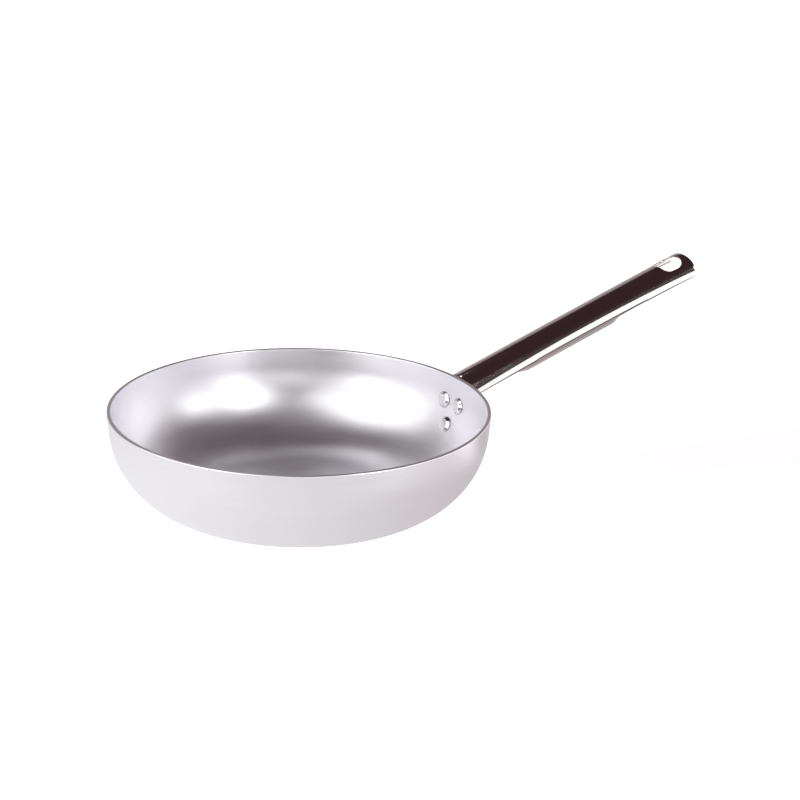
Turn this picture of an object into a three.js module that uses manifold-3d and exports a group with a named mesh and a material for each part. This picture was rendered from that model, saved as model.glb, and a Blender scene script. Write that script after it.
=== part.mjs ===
// A deep frying pan: a spun aluminium bowl with a flat base, and a handle of two
// pressed stainless shells on a plate that three rivets hold to the wall.
// Millimetres, +Z up. The origin is the centre of the base, where the pan stands,
// and the handle points along +X.

import * as THREE from "three";
import { mergeVertices } from "three/addons/utils/BufferGeometryUtils.js";
import Module from "manifold-3d";

const wasm = await Module();
wasm.setup();

const { degToRad, lerp, smoothstep } = THREE.MathUtils;

// Clearance between neighbouring pieces.
const GAP = 0.3;

// Bowl: the rim, the steep wall, and the round corner that runs into the flat base.
const RIM_RADIUS = 140;
const BOWL_HEIGHT = 74;
const WALL = 3;
const WALL_TAPER = degToRad(4);
const CORNER_RADIUS = 64;
const BOWL_SIDES = 80;
const CORNER_STEPS = 12;

// Rivets: two side by side and one below them, with a cone head inside the bowl.
const RIVETS = [
  { name: "rivet_upper_left", belowRim: 20.7, sideways: 9.25 },
  { name: "rivet_upper_right", belowRim: 20.7, sideways: -9.25 },
  { name: "rivet_lower", belowRim: 37.4, sideways: 0 },
];
const SHANK_RADIUS = 3;
const HEAD_RADIUS = 6.4;
const HEAD_FACE_RADIUS = 4.1;
const HEAD_HEIGHT = 2.3;
const HEAD_EDGE = 0.7;
const TAIL_RADIUS = 5.2;
const TAIL_HEIGHT = 2.6;
const TAIL_DOME = [[1, 0.3], [0.75, 0.8], [0.4, 1], [0, 1]];
const RIVET_SIDES = 24;

// Plate between the wall and the handle, a rounded shield seen along the handle.
const PLATE = 2;
const PLATE_TOP_BELOW_RIM = 3;
const PLATE_HALF_WIDTH = 20;
const PLATE_CORNER = 8;
const PLATE_FOOT_RADIUS = 11.5;

// Handle: it leaves the rim radius just above the rim's height and climbs steadily.
const HANDLE_RISE = degToRad(17.4);
const HANDLE_ABOVE_RIM = 0.4;
const HANDLE_LENGTH = 229;
const ROOT_OVERRUN = 6;

// Upper shell: a crowned top and turned-down sides. Widths and heights are given at
// the root, the middle and the tip of the handle. The crown takes most of the sheet's
// width, and the tip is cut back towards the sheet's edges.
const UPPER_SHEET = 1.5;
const CROWN_RISE = { root: 12.3, middle: 8.6, tip: 11.5 };
const HALF_WIDTH = { root: 15.4, middle: 14.45, tip: 16.3 };
const SIDE_DEPTH = { root: 3.1, middle: 6.5, tip: 3.7 };
const CROWN_SHARE = 0.8;
const CROWN_ANGLES = [0, 15, 30, 45, 58, 70, 80, 90].map(degToRad);
const TIP_SETBACK = 4;
const TIP_ROUNDING = 28;
const LONG_STEPS = 14;
const TIP_STEPS = 8;

// Hang hole through the upper shell, measured along the handle from the rim radius.
const HOLE_START = 203;
const HOLE_END = 223;
const HOLE_ROOT_HALF_WIDTH = 11.3;
const HOLE_TIP_HALF_WIDTH = 11.4;
const HOLE_ROOT_CORNER = 5.7;
const HOLE_TIP_CORNER = 9;

// Lower shell: a trough that fits inside the upper shell's sides and fills the palm.
const LOWER_SHEET = 1.2;
const TROUGH_START = 28;
const TROUGH_END = 172;
const TROUGH_LEAD_IN = 34;
const TROUGH_LEAD_OUT = 30;
const TROUGH_OVERLAP = 3;
const TROUGH_DEPTH = 23.5;
const TROUGH_END_DEPTH = 13.4;
const TROUGH_FULLNESS = 2.4;
const TROUGH_STEPS = 26;
const TROUGH_ANGLES = [0, 17, 34, 48, 62, 76, 90].map(degToRad);

const satinAluminium = { color: 0xdcdde0, roughness: 0.38, metalness: 1 };
const polishedSteel = { color: 0xb8b4b2, roughness: 0.12, metalness: 1 };
const brightRivet = { color: 0xd5d5d6, roughness: 0.2, metalness: 1 };

// The round corner is struck from one centre, level with its own radius.
const cornerHeight = CORNER_RADIUS;
const wallFoot = cornerHeight - CORNER_RADIUS * Math.sin(WALL_TAPER);
const wallFootRadius = RIM_RADIUS - (BOWL_HEIGHT - wallFoot) * Math.tan(WALL_TAPER);
const cornerCentre = wallFootRadius - CORNER_RADIUS * Math.cos(WALL_TAPER);

/** A closed geometry as a solid, with its faces pointing out. */
function toSolid(geometry) {
  const bare = geometry.clone();
  bare.deleteAttribute("normal");
  bare.deleteAttribute("uv");
  const merged = mergeVertices(bare, 1e-4);
  const points = merged.attributes.position.array;
  const corners = merged.index.array;
  const kept = [];
  for (let i = 0; i < corners.length; i += 3) {
    const [a, b, c] = corners.slice(i, i + 3);
    if (a !== b && b !== c && c !== a) kept.push(a, b, c);
  }
  const outward = signedVolume(points, kept) > 0;
  const triVerts = Uint32Array.from(outward ? kept : kept.reverse());
  const vertProperties = Float32Array.from(points);
  return new wasm.Manifold(new wasm.Mesh({ numProp: 3, vertProperties, triVerts }));
}

/** Six times the volume that the triangles enclose, negative if they face inwards. */
function signedVolume(points, corners) {
  const at = (i) => new THREE.Vector3().fromArray(points, 3 * i);
  let total = 0;
  for (let i = 0; i < corners.length; i += 3) {
    total += at(corners[i]).dot(at(corners[i + 1]).cross(at(corners[i + 2])));
  }
  return total;
}

/** A solid's surface as a geometry. */
function toGeometry(solid) {
  const { vertProperties, triVerts } = solid.getMesh();
  const geometry = new THREE.BufferGeometry();
  geometry.setAttribute("position", new THREE.BufferAttribute(vertProperties, 3));
  geometry.setIndex(new THREE.BufferAttribute(triVerts, 1));
  geometry.computeVertexNormals();
  return geometry;
}

function namedMesh(name, solid, finish) {
  const mesh = new THREE.Mesh(toGeometry(solid), new THREE.MeshStandardMaterial(finish));
  mesh.name = name;
  return mesh;
}

/** The same geometry, seen from inside a placed object's own frame. */
function seenFrom(frame, geometry) {
  frame.updateMatrix();
  return geometry.clone().applyMatrix4(frame.matrix.clone().invert());
}

/** A profile of (radius, height) points turned about the vertical axis. */
function turned(profile, sides) {
  return new THREE.LatheGeometry(profile, sides).rotateX(Math.PI / 2);
}

/** A profile of (radius, distance) points turned about the X axis. */
function turnedAlongX(profile, sides) {
  return new THREE.LatheGeometry(profile, sides).rotateZ(-Math.PI / 2);
}

/** The bowl's outer profile moved outwards by an offset, from the base up to a height. */
function wallCurve(offset, topHeight) {
  const radius = CORNER_RADIUS + offset;
  const points = [];
  for (let step = 0; step <= CORNER_STEPS; step += 1) {
    const angle = lerp(-Math.PI / 2, -WALL_TAPER, step / CORNER_STEPS);
    const out = cornerCentre + radius * Math.cos(angle);
    points.push(new THREE.Vector2(out, cornerHeight + radius * Math.sin(angle)));
  }
  const rim = RIM_RADIUS + offset / Math.cos(WALL_TAPER);
  const above = topHeight - BOWL_HEIGHT;
  points.push(new THREE.Vector2(rim + above * Math.tan(WALL_TAPER), topHeight));
  return points;
}

/** A ring of wall between two offsets from the bowl's outer profile. */
function wallRing(inner, outer, topHeight) {
  const up = wallCurve(outer, topHeight);
  const down = wallCurve(inner, topHeight).reverse();
  return turned([...up, ...down, up[0]], BOWL_SIDES);
}

/** Everything inside the bowl's outer profile, grown by an offset. */
function wallCore(offset, topHeight) {
  const side = wallCurve(offset, topHeight);
  const foot = new THREE.Vector2(0, side[0].y);
  return turned([foot, ...side, new THREE.Vector2(0, topHeight)], BOWL_SIDES);
}

/** The outline stretched round a list of circles, which go anticlockwise. */
function roundedOutline(circles) {
  const leave = circles.map((from, i) => {
    const to = circles[(i + 1) % circles.length];
    const way = new THREE.Vector2(to.x - from.x, to.y - from.y);
    return way.angle() - Math.acos((from.radius - to.radius) / way.length());
  });
  const outline = new THREE.Shape();
  circles.forEach(({ x, y, radius }, i) => {
    const start = leave[(i + circles.length - 1) % circles.length];
    outline.absarc(x, y, radius, start, leave[i], false);
  });
  return outline;
}

/** A sheet of metal swept through stations, each with matching outer and inner points. */
function sweptSheet(stations) {
  const across = stations[0].outer.length;
  const loop = 2 * across;
  const points = stations.flatMap(({ outer, inner }) => [...outer, ...[...inner].reverse()]);
  const corners = [];
  const quad = (a, b, c, d) => corners.push(a, b, c, a, c, d);
  for (let s = 0; s + 1 < stations.length; s += 1) {
    for (let k = 0; k < loop; k += 1) {
      const next = (k + 1) % loop;
      quad(s * loop + k, s * loop + next, (s + 1) * loop + next, (s + 1) * loop + k);
    }
  }
  const last = (stations.length - 1) * loop;
  for (let k = 0; k + 1 < across; k += 1) {
    const back = loop - 1 - k;
    quad(k, back, back - 1, k + 1);
    quad(last + k, last + k + 1, last + back - 1, last + back);
  }
  const geometry = new THREE.BufferGeometry().setFromPoints(points);
  return geometry.setIndex(corners);
}

/** A size that is given at the root, middle and tip of the handle. */
function alongHandle({ root, middle, tip }, distance) {
  const u = distance / HANDLE_LENGTH;
  return root * (1 - u) * (1 - 2 * u) + 4 * middle * u * (1 - u) + tip * u * (2 * u - 1);
}

/** One side's points mirrored to the other, from +Y over the middle to -Y. */
function mirrored(half) {
  const other = half.slice(1).map((p) => new THREE.Vector3(p.x, -p.y, p.z));
  return [...half].reverse().concat(other);
}

/** The upper shell's outer or inner surface at one distance, set in from the outside. */
function crownSection(distance, inset) {
  const half = alongHandle(HALF_WIDTH, distance) - inset;
  const rise = alongHandle(CROWN_RISE, distance);
  const rounding = smoothstep(distance, HANDLE_LENGTH - TIP_ROUNDING, HANDLE_LENGTH);
  const place = (reach, y, z) =>
    new THREE.Vector3(distance - rounding * TIP_SETBACK * reach ** 3, y, z);
  const points = CROWN_ANGLES.map((angle) => {
    const reach = (CROWN_SHARE * angle) / (Math.PI / 2);
    return place(reach, half * Math.sin(angle), (rise - inset) * Math.cos(angle) - rise);
  });
  points.push(place(1, half, -rise - alongHandle(SIDE_DEPTH, distance)));
  return mirrored(points);
}

function upperShellSheet() {
  const roundingStart = HANDLE_LENGTH - TIP_ROUNDING;
  const distances = [];
  for (let i = 0; i < LONG_STEPS; i += 1) {
    distances.push(lerp(-ROOT_OVERRUN, roundingStart, i / LONG_STEPS));
  }
  for (let i = 0; i <= TIP_STEPS; i += 1) {
    distances.push(lerp(roundingStart, HANDLE_LENGTH, i / TIP_STEPS));
  }
  return sweptSheet(
    distances.map((distance) => ({
      outer: crownSection(distance, 0),
      inner: crownSection(distance, UPPER_SHEET),
    })),
  );
}

/** The trough's outer or inner surface at one distance, set in from the outside. */
function troughSection(distance, inset) {
  const half = alongHandle(HALF_WIDTH, distance) - UPPER_SHEET - GAP - inset;
  const edge = alongHandle(CROWN_RISE, distance) + alongHandle(SIDE_DEPTH, distance);
  const lip = edge - TROUGH_OVERLAP;
  const leadIn = smoothstep(distance, TROUGH_START, TROUGH_START + TROUGH_LEAD_IN);
  const leadOut = smoothstep(distance, TROUGH_END - TROUGH_LEAD_OUT, TROUGH_END);
  const floor = lerp(TROUGH_END_DEPTH, TROUGH_DEPTH, leadIn * (1 - leadOut)) - inset;
  const power = 2 / TROUGH_FULLNESS;
  const points = TROUGH_ANGLES.map((angle) => {
    const side = half * Math.sin(angle) ** power;
    const depth = lip + (floor - lip) * Math.cos(angle) ** power;
    return new THREE.Vector3(distance, side, -depth);
  });
  return mirrored(points);
}

function lowerShellSheet() {
  const stations = [];
  for (let i = 0; i <= TROUGH_STEPS; i += 1) {
    const distance = lerp(TROUGH_START, TROUGH_END, i / TROUGH_STEPS);
    const outer = troughSection(distance, 0);
    stations.push({ outer, inner: troughSection(distance, LOWER_SHEET) });
  }
  return sweptSheet(stations);
}

/** The hang hole's cutter, standing through the shell in the handle's frame. */
function hangHoleCutter() {
  const outline = roundedOutline([
    holeRootCorner(-1),
    holeTipCorner(-1),
    holeTipCorner(1),
    holeRootCorner(1),
  ]);
  const height = 4 * CROWN_RISE.tip;
  const cutter = new THREE.ExtrudeGeometry(outline, {
    depth: height,
    bevelEnabled: false,
    curveSegments: 8,
  });
  return cutter.translate(0, 0, -height / 2);
}

/** The circle that rounds the hole's corner nearest the bowl, on one side. */
function holeRootCorner(side) {
  return {
    x: HOLE_START + HOLE_ROOT_CORNER,
    y: side * (HOLE_ROOT_HALF_WIDTH - HOLE_ROOT_CORNER),
    radius: HOLE_ROOT_CORNER,
  };
}

/** The circle that rounds the hole's corner nearest the tip, on one side. */
function holeTipCorner(side) {
  return {
    x: HOLE_END - HOLE_TIP_CORNER,
    y: side * (HOLE_TIP_HALF_WIDTH - HOLE_TIP_CORNER),
    radius: HOLE_TIP_CORNER,
  };
}

/** Turn and place an object so that its +X runs out through the wall at a rivet. */
function standInWall(object, { belowRim, sideways }) {
  const innerRadius = CORNER_RADIUS - WALL;
  const height = BOWL_HEIGHT - belowRim;
  const pitch = Math.asin((height - cornerHeight) / innerRadius);
  const reach = cornerCentre + innerRadius * Math.cos(pitch);
  const bearing = Math.asin(sideways / reach);
  object.position.set(reach * Math.cos(bearing), reach * Math.sin(bearing), height);
  object.rotation.set(0, -pitch, bearing, "ZYX");
  object.updateMatrix();
  return object;
}

/** Clearance holes for the rivets, long enough to pass the wall and the plate. */
function rivetHoles() {
  const length = 4 * (WALL + PLATE);
  return RIVETS.map((rivet) => {
    const drill = new THREE.CylinderGeometry(
      SHANK_RADIUS + GAP, SHANK_RADIUS + GAP, length, RIVET_SIDES,
    );
    drill.rotateZ(-Math.PI / 2);
    const frame = standInWall(new THREE.Object3D(), rivet);
    return toSolid(drill.applyMatrix4(frame.matrix));
  });
}

function drilled(solid) {
  return rivetHoles().reduce((rest, hole) => rest.subtract(hole), solid);
}

function panBody() {
  const outside = wallCurve(0, BOWL_HEIGHT);
  const inside = wallCurve(-WALL, BOWL_HEIGHT).reverse();
  const foot = new THREE.Vector2(0, 0);
  const floor = new THREE.Vector2(0, WALL);
  const bowl = toSolid(turned([foot, ...outside, ...inside, floor], BOWL_SIDES));
  return namedMesh("pan_body", drilled(bowl), satinAluminium);
}

function mountPlate() {
  const top = BOWL_HEIGHT - PLATE_TOP_BELOW_RIM - PLATE_CORNER;
  const side = PLATE_HALF_WIDTH - PLATE_CORNER;
  const footHeight = BOWL_HEIGHT - RIVETS[2].belowRim;
  const shield = roundedOutline([
    { x: side, y: top, radius: PLATE_CORNER },
    { x: -side, y: top, radius: PLATE_CORNER },
    { x: 0, y: footHeight, radius: PLATE_FOOT_RADIUS },
  ]);
  const outline = new THREE.ExtrudeGeometry(shield, {
    depth: 2 * RIM_RADIUS,
    bevelEnabled: false,
    curveSegments: 8,
  });
  // The outline lies in X and Y and is stood up to face along the handle.
  outline.rotateX(Math.PI / 2).rotateZ(Math.PI / 2);
  const ring = toSolid(wallRing(GAP, GAP + PLATE, BOWL_HEIGHT));
  const plate = ring.intersect(toSolid(outline));
  return namedMesh("handle_mount_plate", drilled(plate), polishedSteel);
}

/** A rivet along +X, with X = 0 on the inner face of the wall. */
function rivetMesh(rivet) {
  const grip = WALL + PLATE + 2 * GAP;
  const head = turnedAlongX(
    [
      new THREE.Vector2(0, -HEAD_HEIGHT),
      new THREE.Vector2(HEAD_FACE_RADIUS, -HEAD_HEIGHT),
      new THREE.Vector2(HEAD_RADIUS, -HEAD_EDGE),
      new THREE.Vector2(HEAD_RADIUS, WALL / 2),
      new THREE.Vector2(0, WALL / 2),
    ],
    RIVET_SIDES,
  );
  const shank = turnedAlongX(
    [
      new THREE.Vector2(0, -HEAD_EDGE),
      new THREE.Vector2(SHANK_RADIUS, -HEAD_EDGE),
      new THREE.Vector2(SHANK_RADIUS, grip),
      new THREE.Vector2(TAIL_RADIUS, grip),
      ...TAIL_DOME.map(([r, h]) => new THREE.Vector2(r * TAIL_RADIUS, grip + h * TAIL_HEIGHT)),
    ],
    RIVET_SIDES,
  );
  const frame = standInWall(new THREE.Object3D(), rivet);
  const wall = seenFrom(frame, wallRing(-WALL - GAP, GAP, BOWL_HEIGHT));
  const seated = toSolid(head).subtract(toSolid(wall));
  return standInWall(namedMesh(rivet.name, seated.add(toSolid(shank)), brightRivet), rivet);
}

/** The handle's two shells in one group, whose X runs along the handle's ridge. */
function handle() {
  const group = new THREE.Group();
  group.position.set(RIM_RADIUS, 0, BOWL_HEIGHT + HANDLE_ABOVE_RIM);
  group.rotation.y = -HANDLE_RISE;
  const keepClear = wallCore(PLATE + 2 * GAP, BOWL_HEIGHT + 4 * CROWN_RISE.root);
  const upper = toSolid(upperShellSheet())
    .subtract(toSolid(seenFrom(group, keepClear)))
    .subtract(toSolid(hangHoleCutter()));
  group.add(namedMesh("handle_upper_shell", upper, polishedSteel));
  group.add(namedMesh("handle_lower_shell", toSolid(lowerShellSheet()), polishedSteel));
  return group;
}

const pan = new THREE.Group();
pan.name = "deep_frying_pan";
pan.add(panBody(), mountPlate(), ...RIVETS.map(rivetMesh), handle());

export default pan;
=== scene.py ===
"""Deep frying pan: a spun bowl, a riveted plate and a pressed handle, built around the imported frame.

Sizes are in metres and angles in radians, unless a class says otherwise. The bowl's axis is Z, and the
handle points along +X.
"""

import logging
import math
from collections.abc import Callable, Sequence
from dataclasses import dataclass
from enum import Enum

import bpy
import numpy as np
from mathutils import Matrix, Vector
from mathutils.geometry import delaunay_2d_cdt


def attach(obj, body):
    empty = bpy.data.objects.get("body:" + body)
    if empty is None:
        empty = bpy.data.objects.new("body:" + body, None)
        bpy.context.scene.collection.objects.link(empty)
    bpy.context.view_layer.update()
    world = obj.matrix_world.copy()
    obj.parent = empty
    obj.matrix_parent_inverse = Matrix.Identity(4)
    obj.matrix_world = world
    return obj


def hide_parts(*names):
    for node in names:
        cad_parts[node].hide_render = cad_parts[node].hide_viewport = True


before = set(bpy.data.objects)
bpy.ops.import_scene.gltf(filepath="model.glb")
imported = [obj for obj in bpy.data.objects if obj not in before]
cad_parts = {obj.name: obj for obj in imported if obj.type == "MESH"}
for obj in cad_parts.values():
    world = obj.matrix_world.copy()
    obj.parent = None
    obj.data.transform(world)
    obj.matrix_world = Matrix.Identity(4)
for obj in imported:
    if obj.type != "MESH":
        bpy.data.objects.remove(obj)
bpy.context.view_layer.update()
BODY = "root"
LOG = logging.getLogger("frying_pan")

Colour = tuple[float, float, float]
Flat = tuple[float, float]
Shares = tuple[float, ...]
Surface = Callable[[float, float], Vector]
FULL_TURN = 2 * math.pi
HALF_TURN = math.pi
QUARTER_TURN = math.pi / 2
HANDLE_RISE = math.radians(17.4)
SMOOTH_ANGLE = math.radians(52)
WELD_DISTANCE = 1e-6
SLOPE_STEP = 5e-5
EDGE_STEPS = 6
BLACK = (0.0, 0.0, 0.0, 1)
WHITE = (1.0, 1.0, 1.0, 1)

# Inputs of the trees that turn a profile.
TURNED_INPUTS = {"Sides": "NodeSocketInt", "Finish": "NodeSocketMaterial"}

# A Noise node's values lie about this middle, and a Mesh Grid of size 1 starts at this coordinate.
NOISE_MIDDLE = 0.5
NOISE_ROUGHNESS = 0.55
GRID_START = -0.5

# How an outline is filled: the fill's kind, its tolerance, and the least room at the edge, in steps.
ONLY_INSIDE = 1
FILL_TOLERANCE = 1e-9
INNER_MARGIN = 0.55

# How often the two searches on the handle's surface halve or repeat.
ROOT_SEARCH_STEPS = 40
PATTERN_SEARCH_STEPS = 12

# Sockets of a colour Mix node, whose names repeat for its other kinds of value.
MIX_COLOUR_A = 6
MIX_COLOUR_B = 7
MIX_COLOUR_OUT = 2


class Slot(Enum):
    """The record's material slots."""

    BOWL = "bowl_aluminium"
    HANDLE = "handle_steel"
    RIVET = "rivet_aluminium"


def smooth_step(value: float, low: float, high: float) -> float:
    """A soft step.

    Args:
        value: Where to read the step.
        low: Where it leaves 0.
        high: Where it reaches 1.

    Returns:
        The step's height, from 0 to 1.
    """
    share = min(max((value - low) / (high - low), 0.0), 1.0)
    return share * share * (3 - 2 * share)


class Signal:
    """A node's output that takes part in Python sums, each of which adds a Math node."""

    def __init__(self, wiring: "Wiring", socket: bpy.types.NodeSocket) -> None:
        """Wraps one output of a tree."""
        self.wiring = wiring
        self.socket = socket

    def math(self, operation: str, *operands: "Signal | float", clamp: bool = False) -> "Signal":
        """Adds a Math node.

        Args:
            operation: The node's operation.
            operands: Its inputs, in order.
            clamp: Whether the result is held between 0 and 1.

        Returns:
            The node's output.
        """
        settings = {"operation": operation, "use_clamp": clamp}
        return self.wiring.signal("ShaderNodeMath", settings, dict(enumerate(operands)))

    def __add__(self, other: "Signal | float") -> "Signal":
        """self + other."""
        return self.math("ADD", self, other)

    def __radd__(self, other: float) -> "Signal":
        """other + self."""
        return self.math("ADD", other, self)

    def __sub__(self, other: "Signal | float") -> "Signal":
        """self - other."""
        return self.math("SUBTRACT", self, other)

    def __rsub__(self, other: float) -> "Signal":
        """other - self."""
        return self.math("SUBTRACT", other, self)

    def __mul__(self, other: "Signal | float") -> "Signal":
        """self * other."""
        return self.math("MULTIPLY", self, other)

    def __rmul__(self, other: float) -> "Signal":
        """other * self."""
        return self.math("MULTIPLY", other, self)

    def __truediv__(self, other: "Signal | float") -> "Signal":
        """self / other."""
        return self.math("DIVIDE", self, other)

    def __pow__(self, other: float) -> "Signal":
        """self to a power."""
        return self.math("POWER", self, other)

    def held(self) -> "Signal":
        """self, held between 0 and 1."""
        return self.math("ADD", self, 0.0, clamp=True)

    def smoothed(self) -> "Signal":
        """self, which runs from 0 to 1, eased at both ends."""
        return self * self * (3.0 - 2.0 * self)


class Wiring:
    """Adds nodes to one tree, and sets or links their sockets."""

    def __init__(self, tree: bpy.types.NodeTree) -> None:
        """Takes the tree that the nodes go into."""
        self.tree = tree

    def node(
        self,
        kind: str,
        settings: dict[str, object] | None = None,
        sockets: dict[str | int, object] | None = None,
    ) -> bpy.types.Node:
        """Adds a node.

        Args:
            kind: The node's type.
            settings: Its own properties, which are set first.
            sockets: Values or links for its inputs, by name or by place.

        Returns:
            The node.
        """
        made = self.tree.nodes.new(kind)
        for name, value in (settings or {}).items():
            setattr(made, name, value)
        for key, value in (sockets or {}).items():
            source = value.socket if isinstance(value, Signal) else value
            if isinstance(source, bpy.types.NodeSocket):
                self.tree.links.new(source, made.inputs[key])
            else:
                made.inputs[key].default_value = source
        return made

    def signal(
        self,
        kind: str,
        settings: dict[str, object] | None = None,
        sockets: dict[str | int, object] | None = None,
        output: str | int = 0,
    ) -> Signal:
        """Adds a node and takes one of its outputs.

        Args:
            kind: The node's type.
            settings: Its own properties.
            sockets: Values or links for its inputs.
            output: The output's name or place.

        Returns:
            The output, ready for sums.
        """
        return Signal(self, self.node(kind, settings, sockets).outputs[output])

    def axes(self, vector: Signal) -> tuple[Signal, Signal, Signal]:
        """The three parts of a vector."""
        split = self.node("ShaderNodeSeparateXYZ", sockets={"Vector": vector})
        return tuple(Signal(self, part) for part in split.outputs)

    def vector(self, x: Signal | float, y: Signal | float, z: Signal | float) -> Signal:
        """A vector from its three parts."""
        return self.signal("ShaderNodeCombineXYZ", sockets={"X": x, "Y": y, "Z": z})

    def noise(self, vector: Signal, scale: float, detail: float = 2.0) -> Signal:
        """Noise about 0.5.

        Args:
            vector: Where it is read.
            scale: Grains per unit of that vector.
            detail: How many finer layers it has.

        Returns:
            The noise's value.
        """
        sockets = {"Vector": vector, "Scale": scale, "Detail": detail, "Roughness": NOISE_ROUGHNESS}
        return self.signal("ShaderNodeTexNoise", None, sockets)

    def blend(self, share: Signal, first: Colour, second: Colour) -> Signal:
        """A colour between two.

        Args:
            share: 0 for the first, 1 for the second.
            first: Linear colour.
            second: Linear colour.

        Returns:
            The blended colour.
        """
        return self.mixed(share, (*first, 1), (*second, 1))

    def mixed(self, share: Signal, first: object, second: object) -> Signal:
        """A Mix node on two colours, each a signal or four numbers."""
        sockets = {0: share, MIX_COLOUR_A: first, MIX_COLOUR_B: second}
        return self.signal("ShaderNodeMix", {"data_type": "RGBA"}, sockets, MIX_COLOUR_OUT)

    def link(self, source: Signal, node: bpy.types.Node, name: str) -> None:
        """Links a signal to one of a node's inputs."""
        self.tree.links.new(source.socket, node.inputs[name])


def layered(shares: Shares, *layers: Signal) -> Signal:
    """A sum of noise layers.

    Args:
        shares: Each layer's share of the sum.
        layers: The layers, in the same order.

    Returns:
        The sum, held between 0 and 1.
    """
    return sum(layer * share for layer, share in zip(layers, shares)).held()


class MetalFinish:
    """What the metal finishes share: a metal shader, and lines or grain in its relief."""

    name: str

    def start(self) -> tuple[bpy.types.Material, Wiring, bpy.types.Node]:
        """Begins a material.

        Returns:
            The material, its wiring and its metal shader.
        """
        material = bpy.data.materials.new(self.name)
        material.use_nodes = True
        wiring = Wiring(material.node_tree)
        shader = material.node_tree.nodes["Principled BSDF"]
        shader.inputs["Metallic"].default_value = 1.0
        return material, wiring, shader

    def relief(self, wiring: Wiring, shader: bpy.types.Node, height: Signal, depth: float) -> None:
        """Gives the shader a relief.

        Args:
            wiring: The material's wiring.
            shader: Its metal shader.
            height: The relief's height, from 0 to 1.
            depth: Its full depth in metres.
        """
        sockets = {"Strength": 1.0, "Distance": depth, "Height": height}
        normal = wiring.signal("ShaderNodeBump", None, sockets)
        wiring.link(normal, shader, "Normal")


@dataclass(frozen=True)
class SatinAluminium(MetalFinish):
    """Spun aluminium with a satin face: rings from the lathe, a fine grain and a cut rim."""

    name: str = "satin_aluminium"
    pale: Colour = (0.90, 0.90, 0.93)
    dull: Colour = (0.80, 0.79, 0.83)
    rim: Colour = (0.69, 0.68, 0.70)
    roughness: float = 0.38
    rim_roughness: float = 0.34
    ring_spread: float = 0.10
    cloud_spread: float = 0.06
    ring_pitch: float = 0.0011
    grain_size: float = 0.0013
    ring_waver: float = 3.0
    cloud_size: float = 0.035
    mottle_shares: Shares = (0.45, 0.35, 0.2)
    relief_shares: Shares = (0.5, 0.5)
    rim_height: float = 0.0734
    rim_fade: float = 0.0002
    depth: float = 0.000012

    def material(self) -> bpy.types.Material:
        """Builds the material.

        Returns:
            The bowl's material.
        """
        material, wiring, shader = self.start()
        place = wiring.signal("ShaderNodeTexCoord", output="Object")
        x, y, z = wiring.axes(place)
        radius = (x * x + y * y) ** 0.5
        bearing = y.math("ARCTAN2", y, x)
        around = wiring.vector(radius / self.ring_pitch, z / self.ring_pitch, bearing * self.ring_waver)
        rings = wiring.noise(around, 1.0, 3.0)
        grain = wiring.noise(place, 1 / self.grain_size, 2.0)
        cloud = wiring.noise(place, 1 / self.cloud_size, 3.0)
        rim = ((z - self.rim_height) / self.rim_fade).held()
        mottle = layered(self.mottle_shares, rings, grain, cloud)
        face = wiring.blend(mottle, self.dull, self.pale)
        colour = wiring.mixed(rim, face, (*self.rim, 1))
        satin = self.roughness + (rings - NOISE_MIDDLE) * self.ring_spread
        satin += (cloud - NOISE_MIDDLE) * self.cloud_spread
        roughness = satin * (1 - rim) + rim * self.rim_roughness
        wiring.link(colour, shader, "Base Color")
        wiring.link(roughness, shader, "Roughness")
        self.relief(wiring, shader, layered(self.relief_shares, rings, grain), self.depth)
        return material


@dataclass(frozen=True)
class PolishedSteel(MetalFinish):
    """Polished stainless steel, with faint lines along the handle and handling marks."""

    name: str = "polished_steel"
    pale: Colour = (0.70, 0.665, 0.66)
    dull: Colour = (0.58, 0.54, 0.535)
    roughness: float = 0.085
    smear: float = 0.07
    smear_from: float = 0.45
    smear_gain: float = 1.6
    line_length: float = 0.030
    line_width: float = 0.0006
    smear_size: float = 0.022
    fleck_size: float = 0.0016
    tone_shares: Shares = (0.4, 0.4, 0.2)
    relief_shares: Shares = (0.6, 0.4)
    depth: float = 0.000003

    def material(self) -> bpy.types.Material:
        """Builds the material.

        Returns:
            The handle's material.
        """
        material, wiring, shader = self.start()
        place = wiring.signal("ShaderNodeTexCoord", output="Object")
        turned = wiring.signal(
            "ShaderNodeMapping", None, {"Vector": place, "Rotation": (0.0, HANDLE_RISE, 0.0)}
        )
        along, across, up = wiring.axes(turned)
        lines_at = wiring.vector(
            along / self.line_length, across / self.line_width, up / self.line_width
        )
        lines = wiring.noise(lines_at, 1.0, 2.0)
        smear = wiring.noise(place, 1 / self.smear_size, 4.0)
        fleck = wiring.noise(place, 1 / self.fleck_size, 2.0)
        tone = layered(self.tone_shares, lines, fleck, smear)
        colour = wiring.blend(tone, self.dull, self.pale)
        smeared = ((smear - self.smear_from) * self.smear_gain).held()
        roughness = self.roughness + smeared * self.smear
        wiring.link(colour, shader, "Base Color")
        wiring.link(roughness, shader, "Roughness")
        self.relief(wiring, shader, layered(self.relief_shares, lines, fleck), self.depth)
        return material


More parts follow.
